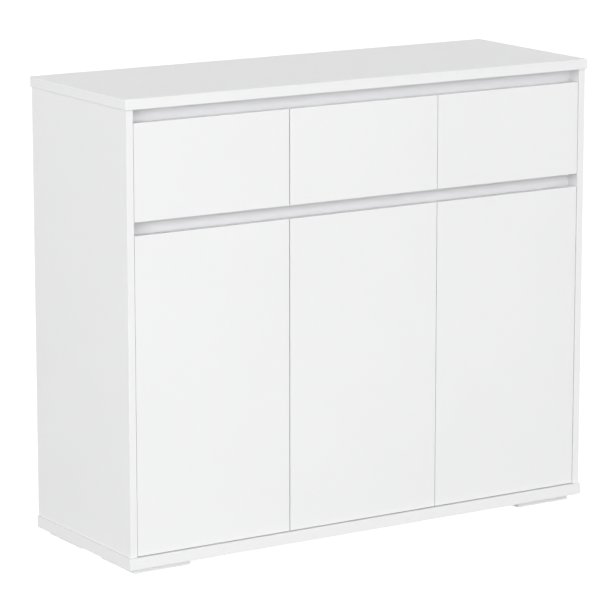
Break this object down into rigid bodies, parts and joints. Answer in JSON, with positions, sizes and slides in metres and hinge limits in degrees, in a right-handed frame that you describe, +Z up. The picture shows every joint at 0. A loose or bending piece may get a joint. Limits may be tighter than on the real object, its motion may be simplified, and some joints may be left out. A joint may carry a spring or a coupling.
{
  "type": "sideboard buffet",
  "caption": "White sideboard buffet with handleless drawers above cupboard doors, full-width finger channels, and low square block feet.",
  "frame": {"origin": "on the floor, at the centre of the top panel's footprint", "axes": "+X along the width, to the right of someone facing the fronts; the fronts face -Y; +Z up"},
  "size_m": [1.16, 0.409, 0.998],
  "materials": {
    "white_melamine": "smooth white melamine with a low satin sheen",
    "white_backing": "white printed fibreboard, matt",
    "white_foot": "white coated block, satin",
    "zinc_steel": "bright zinc plating",
    "nickel_hinge": "nickel plated pressed steel",
    "cast_zinc": "rough die-cast zinc",
    "beech_dowel": "fluted raw beech"
  },
  "bodies": {
    "carcass": {"back_nails": "zinc_steel", "back_panel_left": "white_backing", "back_panel_middle": "white_backing", "back_panel_right": "white_backing", "bottom_panel": "white_melamine", "cam_bolts": "zinc_steel", "cam_locks": "cast_zinc", "divider_left": "white_melamine", "divider_right": "white_melamine", "dowels": "beech_dowel", "foot_front_left": "white_foot", "foot_front_right": "white_foot", "foot_rear_left": "white_foot", "foot_rear_right": "white_foot", "foot_screws": "zinc_steel", "hinge_arms": "nickel_hinge", "hinge_plate_screws": "nickel_hinge", "hinge_plates": "nickel_hinge", "lower_grip_rail": "white_melamine", "runner_outer_members": "zinc_steel", "shelf_left": "white_melamine", "shelf_middle": "white_melamine", "shelf_pegs": "zinc_steel", "shelf_right": "white_melamine", "side_panel_left": "white_melamine", "side_panel_right": "white_melamine", "top_panel": "white_melamine", "upper_grip_rail": "white_melamine"},
    "drawer_left": {"drawer_front_left": "white_melamine", "drawer_sides_left": "white_melamine", "drawer_back_left": "white_melamine", "drawer_bottom_left": "white_backing", "runner_inner_left": "zinc_steel"},
    "runner_left": {"runner_middle_left": "zinc_steel"},
    "door_left": {"door_left": "white_melamine", "hinge_cups_left": "nickel_hinge", "hinge_pins_left": "nickel_hinge", "hinge_cup_screws_left": "nickel_hinge"},
    "drawer_middle": {"drawer_front_middle": "white_melamine", "drawer_sides_middle": "white_melamine", "drawer_back_middle": "white_melamine", "drawer_bottom_middle": "white_backing", "runner_inner_middle": "zinc_steel"},
    "runner_middle": {"runner_middle_middle": "zinc_steel"},
    "door_middle": {"door_middle": "white_melamine", "hinge_cups_middle": "nickel_hinge", "hinge_pins_middle": "nickel_hinge", "hinge_cup_screws_middle": "nickel_hinge"},
    "drawer_right": {"drawer_front_right": "white_melamine", "drawer_sides_right": "white_melamine", "drawer_back_right": "white_melamine", "drawer_bottom_right": "white_backing", "runner_inner_right": "zinc_steel"},
    "runner_right": {"runner_middle_right": "zinc_steel"},
    "door_right": {"door_right": "white_melamine", "hinge_cups_right": "nickel_hinge", "hinge_pins_right": "nickel_hinge", "hinge_cup_screws_right": "nickel_hinge"}
  },
  "joints": [
    {"name": "drawer_left_slide", "type": "slide", "parent": "carcass", "child": "drawer_left", "axis": [0, -1, 0], "range_m": [0, 0.34]},
    {"name": "runner_left_slide", "type": "slide", "parent": "carcass", "child": "runner_left", "axis": [0, -1, 0], "range_m": [0, 0.17]},
    {"name": "drawer_middle_slide", "type": "slide", "parent": "carcass", "child": "drawer_middle", "axis": [0, -1, 0], "range_m": [0, 0.34]},
    {"name": "runner_middle_slide", "type": "slide", "parent": "carcass", "child": "runner_middle", "axis": [0, -1, 0], "range_m": [0, 0.17]},
    {"name": "drawer_right_slide", "type": "slide", "parent": "carcass", "child": "drawer_right", "axis": [0, -1, 0], "range_m": [0, 0.34]},
    {"name": "runner_right_slide", "type": "slide", "parent": "carcass", "child": "runner_right", "axis": [0, -1, 0], "range_m": [0, 0.17]},
    {"name": "door_left_hinge", "type": "hinge", "parent": "carcass", "child": "door_left", "pos_m": [-0.5374, -0.192, 0.3787], "axis": [0, 0, -1], "range_deg": [0, 100]},
    {"name": "door_middle_hinge", "type": "hinge", "parent": "carcass", "child": "door_middle", "pos_m": [-0.16385, -0.192, 0.3787], "axis": [0, 0, -1], "range_deg": [0, 100]},
    {"name": "door_right_hinge", "type": "hinge", "parent": "carcass", "child": "door_right", "pos_m": [0.5377, -0.192, 0.3787], "axis": [0, 0, 1], "range_deg": [0, 100]}
  ],
  "couplings": [
    {"joint": "runner_left_slide", "follows": "drawer_left_slide", "ratio": 0.5},
    {"joint": "runner_middle_slide", "follows": "drawer_middle_slide", "ratio": 0.5},
    {"joint": "runner_right_slide", "follows": "drawer_right_slide", "ratio": 0.5}
  ]
}
